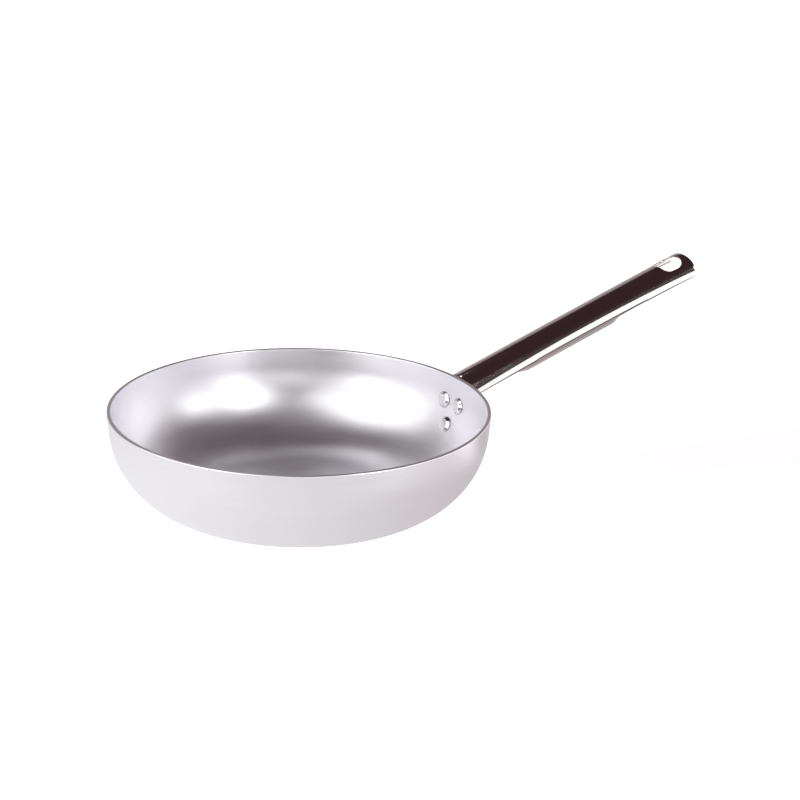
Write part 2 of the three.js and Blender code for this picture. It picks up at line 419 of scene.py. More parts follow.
@dataclass(frozen=True)
class BrightRivet(MetalFinish):
    """Rivet aluminium, pressed bright by the setting tool, with satin faces and painted shade on the heads'
    sides.

    How far a place faces into the bowl, as a cosine, tells the face, the cone and the edge apart.
    """

    name: str = "bright_rivet"
    pale: Colour = (0.88, 0.88, 0.89)
    dull: Colour = (0.70, 0.69, 0.70)
    # Painted shade on the heads' sides, where they meet the wall.
    edge: Colour = (0.34, 0.33, 0.34)
    roughness: float = 0.16
    face_roughness: float = 0.36
    spread: float = 0.12
    lean: float = math.radians(18)
    face_from: float = 0.85
    face_fade: float = 0.1
    edge_shade_below: float = 0.30
    edge_shade_fade: float = 0.15
    dent_size: float = 0.0028
    grain_size: float = 0.0007
    tone_shares: Shares = (0.6, 0.4)
    relief_shares: Shares = (0.8, 0.2)
    depth: float = 0.00004

    def material(self) -> bpy.types.Material:
        """Builds the material.

        Returns:
            The rivets' material.
        """
        material, wiring, shader = self.start()
        place = wiring.signal("ShaderNodeTexCoord", output="Object")
        dents = wiring.noise(place, 1 / self.dent_size, 2.0)
        grain = wiring.noise(place, 1 / self.grain_size, 2.0)
        x, y, _ = wiring.axes(place)
        across, along, up = wiring.axes(wiring.signal("ShaderNodeNewGeometry", output="Normal"))
        inward = (x * across + y * along) / ((x * x + y * y) ** 0.5) * -math.cos(self.lean)
        facing = inward + up * math.sin(self.lean)
        face = ((facing - self.face_from) / self.face_fade).held()
        # Painted shade on the sides of the heads, which turn away from the bowl's middle.
        edge = ((self.edge_shade_below - facing) / self.edge_shade_fade).held()
        worn = wiring.blend(layered(self.tone_shares, dents, grain), self.dull, self.pale)
        colour = wiring.mixed(edge, worn, (*self.edge, 1))
        roughness = self.roughness + (grain - NOISE_MIDDLE) * self.spread
        roughness += face * (self.face_roughness - self.roughness)
        wiring.link(colour, shader, "Base Color")
        wiring.link(roughness, shader, "Roughness")
        self.relief(wiring, shader, layered(self.relief_shares, dents, grain), self.depth)
        return material


@dataclass(frozen=True)
class WeldBead(MetalFinish):
    """Brushed weld metal with ripples and a trace of heat colour."""

    name: str = "weld_bead"
    pale: Colour = (0.62, 0.57, 0.52)
    straw: Colour = (0.46, 0.36, 0.25)
    roughness: float = 0.30
    spread: float = 0.2
    ripple_size: float = 0.0012
    tint_size: float = 0.006
    tint_from: float = 0.3
    tint_gain: float = 2.0
    depth: float = 0.00012

    def material(self) -> bpy.types.Material:
        """Builds the material.

        Returns:
            The weld's material.
        """
        material, wiring, shader = self.start()
        place = wiring.signal("ShaderNodeTexCoord", output="Object")
        ripple = wiring.noise(place, 1 / self.ripple_size, 2.0)
        tint = wiring.noise(place, 1 / self.tint_size, 2.0)
        tinted = ((tint - self.tint_from) * self.tint_gain).held()
        colour = wiring.blend(tinted, self.straw, self.pale)
        roughness = self.roughness + (ripple - NOISE_MIDDLE) * self.spread
        wiring.link(colour, shader, "Base Color")
        wiring.link(roughness, shader, "Roughness")
        self.relief(wiring, shader, ripple, self.depth)
        return material


class GeometryTree:
    """A Geometry Nodes tree with named inputs, put on pieces as a modifier."""

    def __init__(self, name: str, inputs: dict[str, str]) -> None:
        """Starts a tree.

        Args:
            name: The tree's name.
            inputs: Socket types of its inputs after the geometry, by name.
        """
        self.group = bpy.data.node_groups.new(name, "GeometryNodeTree")
        face = self.group.interface
        face.new_socket("Geometry", in_out="OUTPUT", socket_type="NodeSocketGeometry")
        face.new_socket("Geometry", in_out="INPUT", socket_type="NodeSocketGeometry")
        for title, kind in inputs.items():
            face.new_socket(title, in_out="INPUT", socket_type=kind)
        self.wiring = Wiring(self.group)
        self.given = self.wiring.node("NodeGroupInput")

    def take(self, name: str) -> Signal:
        """One of the tree's inputs."""
        return Signal(self.wiring, self.given.outputs[name])

    def close(self, geometry: Signal) -> None:
        """Ends the tree with real meshes, in the material that the tree was given.

        Args:
            geometry: What the tree has made.
        """
        real = self.wiring.signal("GeometryNodeRealizeInstances", None, {0: geometry})
        sockets = {"Geometry": real, "Material": self.take("Finish")}
        dressed = self.wiring.signal("GeometryNodeSetMaterial", None, sockets)
        self.wiring.node("NodeGroupOutput", None, {0: dressed})

    def turned(self, profile: Signal, sides: Signal) -> Signal:
        """Turns a profile about the Z axis.

        Args:
            profile: Points in the XZ plane, in order.
            sides: How many steps the turn has.

        Returns:
            The closed, turned mesh.
        """
        wiring = self.wiring
        count = wiring.signal("GeometryNodeAttributeDomainSize", None, {0: profile})
        sockets = {"Size X": 1.0, "Size Y": 1.0, "Vertices X": count, "Vertices Y": sides + 1.0}
        grid = wiring.signal("GeometryNodeMeshGrid", None, sockets)
        here = wiring.signal("GeometryNodeInputPosition")
        row, turn, _ = wiring.axes(here)
        step = (row - GRID_START) * (count - 1.0)
        place = step.math("ROUND", step)
        settings = {"data_type": "FLOAT_VECTOR", "domain": "POINT"}
        sockets = {0: profile, "Value": here, "Index": place}
        point = wiring.signal("GeometryNodeSampleIndex", settings, sockets)
        sockets = {"Vector": point, "Angle": (turn - GRID_START) * -FULL_TURN}
        swung = wiring.signal("ShaderNodeVectorRotate", {"rotation_type": "Z_AXIS"}, sockets)
        moved = wiring.signal("GeometryNodeSetPosition", None, {0: grid, "Position": swung})
        sockets = {"Geometry": moved, "Distance": WELD_DISTANCE}
        return wiring.signal("GeometryNodeMergeByDistance", None, sockets)

    def apply(self, piece: bpy.types.Object, values: dict[str, object]) -> None:
        """Puts the tree on a piece, runs it and keeps the result as a plain mesh.

        Args:
            piece: The object whose mesh feeds the tree.
            values: The tree's inputs, by name.
        """
        modifier = piece.modifiers.new(self.group.name, "NODES")
        modifier.node_group = self.group
        for item in self.group.interface.items_tree:
            if item.in_out == "INPUT" and item.name in values:
                modifier[item.identifier] = values[item.name]
        settle(piece)
        slots = piece.data.materials
        for place in reversed(range(len(slots))):
            if slots[place] is None:
                slots.pop(index=place)


def new_piece(name: str, mesh: bpy.types.Mesh) -> bpy.types.Object:
    """Puts a mesh into the scene, at the origin.

    Args:
        name: The object's name.
        mesh: Its mesh.

    Returns:
        The object.
    """
    piece = bpy.data.objects.new(name, mesh)
    bpy.context.scene.collection.objects.link(piece)
    return piece


def point_mesh(name: str, points: Sequence[Vector], chains: Sequence[range] = ()) -> bpy.types.Mesh:
    """A mesh of points, for a tree to build on.

    Args:
        name: The mesh's name.
        points: Its vertices.
        chains: Runs of vertices that are joined by edges.

    Returns:
        The mesh.
    """
    mesh = bpy.data.meshes.new(name)
    edges = [(i, i + 1) for chain in chains for i in chain[:-1]]
    mesh.from_pydata(points, edges, [])
    return mesh


def settle(piece: bpy.types.Object) -> None:
    """Replaces a piece's mesh by what its modifiers make of it, and removes them.

    Args:
        piece: The object with the modifiers.
    """
    graph = bpy.context.evaluated_depsgraph_get()
    mesh = bpy.data.meshes.new_from_object(piece.evaluated_get(graph))
    piece.modifiers.clear()
    before = piece.data
    piece.data = mesh
    bpy.data.meshes.remove(before)


def soften(mesh: bpy.types.Mesh) -> None:
    """Shades a mesh smooth, except across its sharp edges."""
    mesh.shade_smooth()
    mesh.set_sharp_from_angle(angle=SMOOTH_ANGLE)


def keep(piece: bpy.types.Object, slot: Slot, *nodes: str) -> None:
    """Puts a finished piece on the frame.

    Args:
        piece: The finished object.
        slot: The record's slot that its finish belongs to; not used.
        nodes: The CAD nodes that it stands for.
    """
    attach(piece, BODY)
    if nodes:
        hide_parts(*nodes)
    LOG.info("%s: %d faces, for %s", piece.name, len(piece.data.polygons), nodes or "detail")


def within(points: np.ndarray, loop: np.ndarray) -> np.ndarray:
    """Tells which points lie inside a closed loop.

    Args:
        points: One row a point.
        loop: The loop's corners in order.

    Returns:
        A flag for each point.
    """
    inside = np.zeros(len(points), bool)
    for (x0, y0), (x1, y1) in zip(loop, np.roll(loop, -1, axis=0)):
        if y0 == y1:
            continue
        crossed = (points[:, 1] >= y0) != (points[:, 1] >= y1)
        meets = x0 + (points[:, 1] - y0) * (x1 - x0) / (y1 - y0)
        inside ^= crossed & (points[:, 0] < meets)
    return inside


def covered(points: np.ndarray, rings: Sequence[np.ndarray]) -> np.ndarray:
    """Tells which points lie inside an outline and outside its holes.

    Args:
        points: One row a point.
        rings: The outline's corners, then those of its holes.

    Returns:
        A flag for each point.
    """
    inside = within(points, rings[0])
    for ring in rings[1:]:
        inside &= ~within(points, ring)
    return inside


def evened(loop: Sequence[Flat], step: float) -> list[Flat]:
    """A closed loop with no side longer than a step, and with its corners kept.

    Args:
        loop: The loop's corners in order.
        step: The longest side.

    Returns:
        The new corners.
    """
    out = []
    for (x0, y0), (x1, y1) in zip(loop, [*loop[1:], loop[0]]):
        parts = max(1, math.ceil(math.hypot(x1 - x0, y1 - y0) / step))
        out += [(x0 + (x1 - x0) * i / parts, y0 + (y1 - y0) * i / parts) for i in range(parts)]
    return out


def triangles(rings: Sequence[np.ndarray], step: float) -> tuple[list[Flat], list[list[int]]]:
    """Fills a flat outline with triangles.

    Args:
        rings: The outline's corners, then those of its holes.
        step: The size of the triangles.

    Returns:
        The points, the rings' corners first, and the triangles, anticlockwise.
    """
    low, high = rings[0].min(0), rings[0].max(0)
    count = np.floor((high - low) / step).astype(int)
    across = [low[k] + (high[k] - low[k]) * (np.arange(count[k]) + 0.5) / count[k] for k in (0, 1)]
    grid = np.stack(np.meshgrid(*across), -1).reshape(-1, 2)
    edge = np.concatenate(rings)
    nearest = np.array([np.hypot(*(edge - point).T).min() for point in grid])
    inner = grid[covered(grid, rings) & (nearest > INNER_MARGIN * step)]
    points = np.concatenate([edge, inner])
    sides, holes, start = [], [], 0
    for ring in rings:
        sides += [(start + i, start + (i + 1) % len(ring)) for i in range(len(ring))]
        start += len(ring)
        holes.append(set(range(start - len(ring), start)))
    corners = [Vector(p) for p in points]
    filled = delaunay_2d_cdt(corners, sides, [], ONLY_INSIDE, FILL_TOLERANCE)
    _, _, cells, sources, _, _ = filled
    faces = [[sources[i][0] for i in cell] for cell in cells]
    faces = [face for face in faces if not any(hole.issuperset(face) for hole in holes[1:])]
    return [tuple(p) for p in points], faces


def sunk(surface: Surface, along: float, across: float, depth: float) -> Vector:
    """A point under a surface.

    Args:
        surface: Gives a pattern point's place on the surface.
        along: The pattern point's first coordinate.
        across: Its second coordinate.
        depth: How far the point lies under the surface.

    Returns:
        The point.
    """
    run = surface(along + SLOPE_STEP, across) - surface(along - SLOPE_STEP, across)
    swing = surface(along, across + SLOPE_STEP) - surface(along, across - SLOPE_STEP)
    return surface(along, across) - run.cross(swing).normalized() * depth


def pressed_sheet(
    name: str,
    loops: Sequence[Sequence[Flat]],
    step: float,
    sheet: float,
    surface: Surface,
) -> bpy.types.Mesh:
    """A sheet cut from a flat pattern and pressed to shape, with round edges.

    Args:
        name: The mesh's name.
        loops: The pattern's outline, then its holes, all anticlockwise.
        step: The size of its triangles.
        sheet: The sheet's thickness.
        surface: Gives a pattern point's place on the pressed sheet's outer face.

    Returns:
        The closed mesh.
    """
    rings = [np.array(evened(loop, step)) for loop in loops]
    flat, faces = triangles(rings, step)
    count = len(flat)
    points = [sunk(surface, *p, depth) for depth in (0.0, sheet) for p in flat]
    faces = [*faces, *[[count + i for i in reversed(face)] for face in faces]]
    start = 0
    for order, ring in enumerate(rings):
        way = 1 if order == 0 else -1
        tangent = np.roll(ring, -1, axis=0) - np.roll(ring, 1, axis=0)
        out = way * np.stack([tangent[:, 1], -tangent[:, 0]], 1)
        out /= np.hypot(*out.T)[:, None]
        rows = [range(start, start + len(ring))]
        for k in range(1, EDGE_STEPS):
            angle = HALF_TURN * k / EDGE_STEPS
            bulge, depth = sheet / 2 * math.sin(angle), sheet / 2 * (1 - math.cos(angle))
            rows.append(range(len(points), len(points) + len(ring)))
            points += [sunk(surface, *p, depth) for p in ring + bulge * out]
        rows.append(range(count + start, count + start + len(ring)))
        for above, below in zip(rows, rows[1:]):
            for i in range(len(ring)):
                j = (i + 1) % len(ring)
                faces.append([above[j], above[i], below[i], below[j]][::way])
        start += len(ring)
    mesh = bpy.data.meshes.new(name)
    mesh.from_pydata(points, [], faces)
    soften(mesh)
    return mesh


def round_corners(circles: Sequence[tuple[float, float, float]], steps: int = 12) -> list[Flat]:
    """The outline that a band stretched round some circles has.

    Args:
        circles: Centre and radius of each, anticlockwise.
        steps: Points on each circle's turn.

    Returns:
        The outline's points, anticlockwise.
    """
    turns = []
    for (ax, ay, ar), (bx, by, br) in zip(circles, [*circles[1:], circles[0]]):
        heading = math.atan2(by - ay, bx - ax)
        turns.append(heading - QUARTER_TURN + math.asin((ar - br) / math.hypot(bx - ax, by - ay)))
    outline = []
    for (x, y, radius), start, end in zip(circles, [turns[-1], *turns[:-1]], turns):
        sweep = (end - start) % FULL_TURN
        for i in range(steps + 1):
            angle = start + sweep * i / steps
            outline.append((x + radius * math.cos(angle), y + radius * math.sin(angle)))
    return outline


@dataclass(frozen=True)
class Bowl:
    """The spun bowl: a flat base, a large round corner, a steep wall and a flat rim."""

    rim_radius: float = 0.140
    height: float = 0.074
    wall: float = 0.003
    taper: float = math.radians(4)
    corner: float = 0.064
    rim_edge: float = 0.0009
    edge_support: float = 0.0002
    sides: int = 360
    corner_steps: int = 44
    floor_rings: int = 8
    edge_steps: int = 4

    @property
    def corner_centre(self) -> float:
        """Where the round corner starts on the base.

        Returns:
            The flat base's radius, at which the corner's centre lies too.
        """
        foot = self.corner - self.corner * math.sin(self.taper)
        foot_radius = self.rim_radius - (self.height - foot) * math.tan(self.taper)
        return foot_radius - self.corner * math.cos(self.taper)

    def radius_at(self, height: float, offset: float) -> float:
        """The wall's radius.

        Args:
            height: Height above the base.
            offset: How far outside the outer face, negative for inside.

        Returns:
            The radius there.
        """
        bend = self.corner + offset
        below = self.corner - height
        if below > bend * math.sin(self.taper):
            return self.corner_centre + math.sqrt(bend * bend - below * below)
        straight = (height - self.height) * math.tan(self.taper)
        return self.rim_radius + offset / math.cos(self.taper) + straight

    def lean_at(self, height: float, offset: float) -> float:
        """How far the wall's outward direction dips below the horizontal, as an angle."""
        below = (self.corner - height) / (self.corner + offset)
        return max(math.asin(min(max(below, -1.0), 1.0)), self.taper)

    def face(self, offset: float) -> list[Flat]:
        """One face of the section, from the axis up to just below the rim.

        Args:
            offset: How far outside the outer face, negative for inside.

        Returns:
            Radius and height of each point.
        """
        bend = self.corner + offset
        flat = [(self.corner_centre * i / self.floor_rings, -offset) for i in range(self.floor_rings)]
        swing = QUARTER_TURN - self.taper
        arc = []
        for i in range(self.corner_steps + 1):
            angle = swing * i / self.corner_steps - QUARTER_TURN
            arc.append(
                (self.corner_centre + bend * math.cos(angle), self.corner + bend * math.sin(angle))
            )
        top = self.height - self.rim_edge
        heights = [(arc[-1][1] + top) / 2, top - self.edge_support]
        return [*flat, *arc, *[(self.radius_at(h, offset), h) for h in heights]]

    def rim(self) -> list[Flat]:
        """The rim's section: two rounded edges and the flat between them.

        Returns:
            Radius and height of each point, from the outer wall to the inner one.
        """
        edge = self.rim_edge
        outer = self.radius_at(self.height - edge, 0.0) - edge
        inner = self.radius_at(self.height - edge, -self.wall) + edge
        level = self.height - edge
        turn = [QUARTER_TURN * i / self.edge_steps for i in range(self.edge_steps + 1)]
        outside = [(outer + edge * math.cos(a), level + edge * math.sin(a)) for a in turn]
        inside = [(inner - edge * math.sin(a), level + edge * math.cos(a)) for a in turn]
        flat = [(outer - self.edge_support, self.height), (inner + self.edge_support, self.height)]
        return [*outside, *flat, *inside]

    def build(self, drill: bpy.types.Object, finish: bpy.types.Material) -> bpy.types.Object:
        """Turns the bowl and drills the rivets' holes.

        Args:
            drill: The holes, as one closed mesh.
            finish: The bowl's material.

        Returns:
            The bowl.
        """
        section = [*self.face(0.0), *self.rim(), *reversed(self.face(-self.wall))]
        points = [Vector((radius, 0.0, height)) for radius, height in section]
        bowl = new_piece("spun_bowl", point_mesh("spun_bowl", points))
        tree = GeometryTree("turned_bowl", TURNED_INPUTS)
        tree.close(tree.turned(tree.take("Geometry"), tree.take("Sides")))
        tree.apply(bowl, {"Sides": self.sides, "Finish": finish})
        cut = bowl.modifiers.new("rivet_holes", "BOOLEAN")
        cut.operation = "DIFFERENCE"
        cut.solver = "EXACT"
        cut.object = drill
        settle(bowl)
        bpy.data.objects.remove(drill)
        soften(bowl.data)
        return bowl


@dataclass(frozen=True)
class RivetSet:
    """Three rivets through the wall and the plate: cone heads inside, domed tails outside."""

    bowl: Bowl
    seats: tuple[Flat, ...] = ((0.00925, 0.0207), (-0.00925, 0.0207), (0.0, 0.0374))
    head_radius: float = 0.0064
    face_radius: float = 0.0041
    head_height: float = 0.0023
    head_edge: float = 0.0007
    edge_round: float = 0.00035
    crown: float = 0.00012
    shank_radius: float = 0.003
    sunk: float = 0.0006
    grip: float = 0.0052
    tail_radius: float = 0.0052
    tail_height: float = 0.0028
    tail_steps: int = 10
    sides: int = 64
    hole_clearance: float = 0.0001
    drill_reach: float = 0.008
    drill_sides: int = 32

    def poses(self) -> list[Matrix]:
        """Where the rivets sit.

        Returns:
            A frame for each rivet: origin on the wall's inner face, Z out through the wall.
        """
        made = []
        for sideways, below in self.seats:
            height = self.bowl.height - below
            reach = self.bowl.radius_at(height, -self.bowl.wall)
            bearing = math.asin(sideways / reach)
            lean = self.bowl.lean_at(height, -self.bowl.wall)
            level = Vector((math.cos(bearing), math.sin(bearing), 0.0))
            seat = level * reach + Vector((0.0, 0.0, height))
            out = level * math.cos(lean) - Vector((0.0, 0.0, math.sin(lean)))
            made.append(Matrix.Translation(seat) @ out.to_track_quat("Z", "Y").to_matrix().to_4x4())
        return made

    def section(self) -> list[Flat]:
        """The rivet's section.

        Returns:
            Radius and height of each point, from the head's face to the tail's top.
        """
        face, head, soft = self.face_radius, self.head_radius, self.edge_round
        top, edge = -self.head_height, -self.head_edge
        slope = math.atan2(edge - top, head - face)
        near = (soft * math.cos(slope), soft * math.sin(slope))
        # The face swells a little, and the edges at both ends of the cone are rounded.
        profile = [
            (0.0, top - self.crown),
            (face * 0.5, top - self.crown * 0.75),
            (face - soft, top - self.crown * 0.1),
            (face - soft * 0.3, top + soft * 0.05),
            (face + near[0], top + near[1]),
            (head - near[0], edge - near[1]),
            (head - soft * 0.12, edge - soft * 0.1),
            (head, edge + soft * 0.6),
            (head, self.sunk),
            (self.shank_radius, self.sunk),
            (self.shank_radius, self.grip),
            (self.tail_radius, self.grip),
        ]
        for i in range(1, self.tail_steps):
            angle = QUARTER_TURN * i / self.tail_steps
            rise = self.tail_height * math.sin(angle)
            profile.append((self.tail_radius * math.cos(angle), self.grip + rise))
        return [*profile, (0.0, self.grip + self.tail_height)]

    def drill(self, finish: bpy.types.Material) -> bpy.types.Object:
        """The three holes in the wall.

        Args:
            finish: The wall's material.

        Returns:
            One object with the holes as closed rods.
        """
        radius, steps = self.shank_radius + self.hole_clearance, self.drill_sides
        points, faces = [], []
        for pose in self.poses():
            start = len(points)
            for end in (-self.drill_reach, self.drill_reach):
                for i in range(steps):
                    angle = FULL_TURN * i / steps
                    rim = Vector((radius * math.cos(angle), radius * math.sin(angle), end))
                    points.append(pose @ rim)
            for i in range(steps):
                j = (i + 1) % steps
                faces.append((start + i, start + j, start + steps + j, start + steps + i))
            faces.append(tuple(start + i for i in reversed(range(steps))))
            faces.append(tuple(start + steps + i for i in range(steps)))
        mesh = bpy.data.meshes.new("rivet_holes")
        mesh.from_pydata(points, [], faces)
        mesh.materials.append(finish)
        return new_piece("rivet_holes", mesh)

    def build(self, finish: bpy.types.Material) -> bpy.types.Object:
        """Turns one rivet and sets it in each seat.

        Args:
            finish: The rivets' material.

        Returns:
            The rivets, as one mesh.
        """
        section = [Vector((radius, 0.0, height)) for radius, height in self.section()]
        poses = self.poses()
        points = [*section, *[pose.to_translation() for pose in poses]]
        mesh = point_mesh("rivet_set", points)
        mesh.attributes.new("seat", "BOOLEAN", "POINT")
        mesh.attributes.new("turn", "FLOAT_VECTOR", "POINT")
        for i, pose in enumerate(poses, len(section)):
            mesh.attributes["seat"].data[i].value = True
            mesh.attributes["turn"].data[i].vector = pose.to_euler()
        rivets = new_piece("rivet_set", mesh)
        tree = GeometryTree("set_rivets", TURNED_INPUTS)
        wiring = tree.wiring
        flag = wiring.signal(
            "GeometryNodeInputNamedAttribute", {"data_type": "BOOLEAN"}, {"Name": "seat"}
        )
        parts = wiring.node(
            "GeometryNodeSeparateGeometry",
            {"domain": "POINT"},
            {"Geometry": tree.take("Geometry"), "Selection": flag},
        )
        seats, profile = (Signal(wiring, parts.outputs[name]) for name in ("Selection", "Inverted"))
        angles = wiring.signal(
            "GeometryNodeInputNamedAttribute", {"data_type": "FLOAT_VECTOR"}, {"Name": "turn"}
        )
        turned = wiring.signal("FunctionNodeEulerToRotation", None, {0: angles})
        rivet = tree.turned(profile, tree.take("Sides"))
        sockets = {"Points": seats, "Instance": rivet, "Rotation": turned}
        tree.close(wiring.signal("GeometryNodeInstanceOnPoints", None, sockets))
        tree.apply(rivets, {"Sides": self.sides, "Finish": finish})
        soften(rivets.data)
        return rivets


@dataclass(frozen=True)
class MountPlate:
    """The shield-shaped plate on the wall's outer face, which carries the handle."""

    bowl: Bowl
    gap: float = 0.00004
    outer: float = 0.0023
    top_below_rim: float = 0.003
    half_width: float = 0.020
    corner: float = 0.008
    foot_radius: float = 0.0115
    foot_below_rim: float = 0.0374
    step: float = 0.0016

    @property
    def sheet(self) -> float:
        """The plate's thickness."""
        return self.outer - self.gap

    @property
    def top(self) -> float:
        """The height of its upper edge."""
        return self.bowl.height - self.top_below_rim

    def place(self, sideways: float, height: float) -> Vector:
        """A pattern point's place on the plate's outer face.

        Args:
            sideways: Distance from the plate's middle.
            height: Height above the base.

        Returns:
            The point in the bowl's frame.
        """
        reach = self.bowl.radius_at(height, self.outer)
        bearing = math.asin(sideways / reach)
        return Vector((reach * math.cos(bearing), reach * math.sin(bearing), height))

    def build(self, finish: bpy.types.Material) -> bpy.types.Object:
        """Presses the plate to the wall's curve.

        Args:
            finish: The plate's material.

        Returns:
            The plate.
        """
        shoulder, side = self.top - self.corner, self.half_width - self.corner
        foot, edge = self.bowl.height - self.foot_below_rim, self.sheet / 2
        circles = [
            (side, shoulder, self.corner - edge),
            (-side, shoulder, self.corner - edge),
            (0.0, foot, self.foot_radius - edge),
        ]
        outline = round_corners(circles)
        mesh = pressed_sheet("mount_plate", [outline], self.step, self.sheet, self.place)
        mesh.materials.append(finish)
        return new_piece("mount_plate", mesh)


@dataclass(frozen=True)
class Along:
    """A size that changes smoothly along the handle."""

    root: float
    middle: float
    tip: float

    def at(self, share: float) -> float:
        """The size at a share of the handle's length."""
        start = self.root * (1 - share) * (1 - 2 * share)
        return start + 4 * self.middle * share * (1 - share) + self.tip * share * (2 * share - 1)


@dataclass(frozen=True)
class Handle:
    """The handle: a crowned upper shell with a hang hole, and a palm shell under it.

    The hole is given as circles that its outline is stretched round: place along, place aside and radius.
    """

    bowl: Bowl
    plate: MountPlate
    rise: float = HANDLE_RISE
    above_rim: float = 0.0004
    length: float = 0.229
    sheet: float = 0.0015
    crown: Along = Along(0.0123, 0.0086, 0.0115)
    half_width: Along = Along(0.0154, 0.01445, 0.0163)
    side_depth: Along = Along(0.0027, 0.0061, 0.0039)
    crown_span: float = 0.0184
    side_span: float = 0.0056
    curl_radius: float = 0.0026
    curl_depth: float = 0.0016
    crown_share: float = 0.8
    tip_setback: float = 0.0040
    tip_rounding: float = 0.028
    tip_corner: float = 0.0015
    hole: tuple[tuple[float, float, float], ...] = (
        (0.2086, -0.0056, 0.0060),
        (0.2140, -0.0024, 0.0095),
        (0.2140, 0.0024, 0.0095),
        (0.2086, 0.0056, 0.0060),
    )
    root_range: Flat = (-0.010, 0.030)
    step: float = 0.0016
    palm_sheet: float = 0.0012
    palm_gap: float = 0.0011
    palm_start: float = 0.028
    palm_end: float = 0.172
    palm_lead_in: float = 0.034
    palm_lead_out: float = 0.030
    palm_overlap: float = 0.0045
    palm_depth: float = 0.0239
    palm_end_depth: float = 0.0134
    palm_fullness: float = 2.4
    palm_span: float = 0.022
    palm_edge: float = 0.0209
    bead_radius: float = 0.0012
    bead_ripple: float = 0.0002
    ripples_per_metre: float = 600.0
    bead_points: int = 60
    bead_sides: int = 14

    def pose(self) -> Matrix:
        """The handle's own frame: X along it, Z out of its top."""
        foot = Vector((self.bowl.rim_radius, 0.0, self.bowl.height + self.above_rim))
        return Matrix.Translation(foot) @ Matrix.Rotation(-self.rise, 4, "Y")

    def upper(self, along: float, across: float) -> Vector:
        """A place on the upper shell's outer face.

        Args:
            along: Distance from the rim's radius.
            across: Distance from the ridge on the flat pattern, with a sign.

        Returns:
            The point in the bowl's frame.
        """
        share = along / self.length
        half, deep = self.half_width.at(share), self.side_depth.at(share)
        turn = min(abs(across) / self.crown_span, 1.0)
        drop = max(abs(across) - self.crown_span, 0.0) / self.side_span
        reach = self.crown_share * turn + (1 - self.crown_share) * drop
        cut = smooth_step(along, self.length - self.tip_rounding, self.length)
        angle = turn * QUARTER_TURN
        curl = min(max(drop * deep - deep + self.curl_depth, 0.0), self.curl_radius)
        inward = self.curl_radius - math.sqrt(self.curl_radius**2 - curl**2)
        point = Vector(
            (
                along - cut * self.tip_setback * reach**3,
                math.copysign(half * math.sin(angle) - inward, across),
                self.crown.at(share) * (math.cos(angle) - 1) - drop * deep,
            )
        )
        return self.pose() @ point

    def root_at(self, across: float) -> float:
        """Where the upper shell's root meets the plate, or the bowl above the plate.

        Args:
            across: Distance from the ridge on the flat pattern.

        Returns:
            The distance along the handle.
        """
        low, high = self.root_range
        for _ in range(ROOT_SEARCH_STEPS):
            middle = (low + high) / 2
            point = self.upper(middle, across)
            face = self.plate.outer if point.z < self.plate.top else 0.0
            wall = self.bowl.radius_at(point.z, face + self.sheet / 2)
            outside = math.hypot(point.x, point.y) > wall
            low, high = (low, middle) if outside else (middle, high)
        return (low + high) / 2

    def unpressed(self, along: float, sideways: float) -> Flat:
        """The pattern point that a point of the plan view comes from.

        Args:
            along: Distance along the handle, after pressing.
            sideways: Distance from the handle's middle plane.

        Returns:
            The point on the flat pattern.
        """
        before = along
        across = 0.0
        for _ in range(PATTERN_SEARCH_STEPS):
            half = self.half_width.at(before / self.length)
            turn = math.asin(sideways / half) / QUARTER_TURN
            across = turn * self.crown_span
            cut = smooth_step(before, self.length - self.tip_rounding, self.length)
            before = along + cut * self.tip_setback * abs(self.crown_share * turn) ** 3
        return before, across

    def build_upper(self, finish: bpy.types.Material) -> bpy.types.Object:
        """Presses the upper shell.

        Args:
            finish: The shell's material.

        Returns:
            The shell.
        """
        edge = self.crown_span + self.side_span
        count = math.ceil(2 * edge / self.step)
        root = [edge - 2 * edge * i / count for i in range(count + 1)]
        tip, corner = self.length - self.sheet / 2, self.tip_corner
        turn = [QUARTER_TURN * i / EDGE_STEPS for i in range(EDGE_STEPS + 1)]
        low = [
            (tip - corner + corner * math.sin(a), -edge + corner - corner * math.cos(a)) for a in turn
        ]
        high = [(along, -across) for along, across in reversed(low)]
        outline = [*[(self.root_at(across), across) for across in root], *low, *high]
        hole = [self.unpressed(*point) for point in round_corners(self.hole)]
        loops = [outline, hole]
        mesh = pressed_sheet("handle_top_shell", loops, self.step, self.sheet, self.upper)
        mesh.materials.append(finish)
        return new_piece("handle_top_shell", mesh)

    def palm(self, along: float, across: float) -> Vector:
        """A place on the palm shell's outer face.

        Args:
            along: Distance from the rim's radius.
            across: Distance from the keel on the flat pattern, with a sign.

        Returns:
            The point in the bowl's frame.
        """
        share, angle = along / self.length, -QUARTER_TURN * across / self.palm_span
        half = self.half_width.at(share) - self.sheet - self.palm_gap
        lip = self.crown.at(share) + self.side_depth.at(share) - self.palm_overlap
        lead_in = smooth_step(along, self.palm_start, self.palm_start + self.palm_lead_in)
        lead_out = smooth_step(along, self.palm_end - self.palm_lead_out, self.palm_end)
        full = lead_in * (1 - lead_out)
        floor = self.palm_end_depth + (self.palm_depth - self.palm_end_depth) * full
        power = 2 / self.palm_fullness
        side = math.copysign(half * abs(math.sin(angle)) ** power, angle)
        down = lip + (floor - lip) * max(math.cos(angle), 0.0) ** power
        return self.pose() @ Vector((along, side, -down))

    def build_palm(self, finish: bpy.types.Material) -> bpy.types.Object:
        """Presses the palm shell.

        Args:
            finish: The shell's material.

        Returns:
            The shell.
        """
        low, high, edge = self.palm_start, self.palm_end, self.palm_edge
        outline = [(low, -edge), (high, -edge), (high, edge), (low, edge)]
        name = "handle_palm_shell"
        mesh = pressed_sheet(name, [outline], self.step, self.palm_sheet, self.palm)
        mesh.materials.append(finish)
        return new_piece(name, mesh)

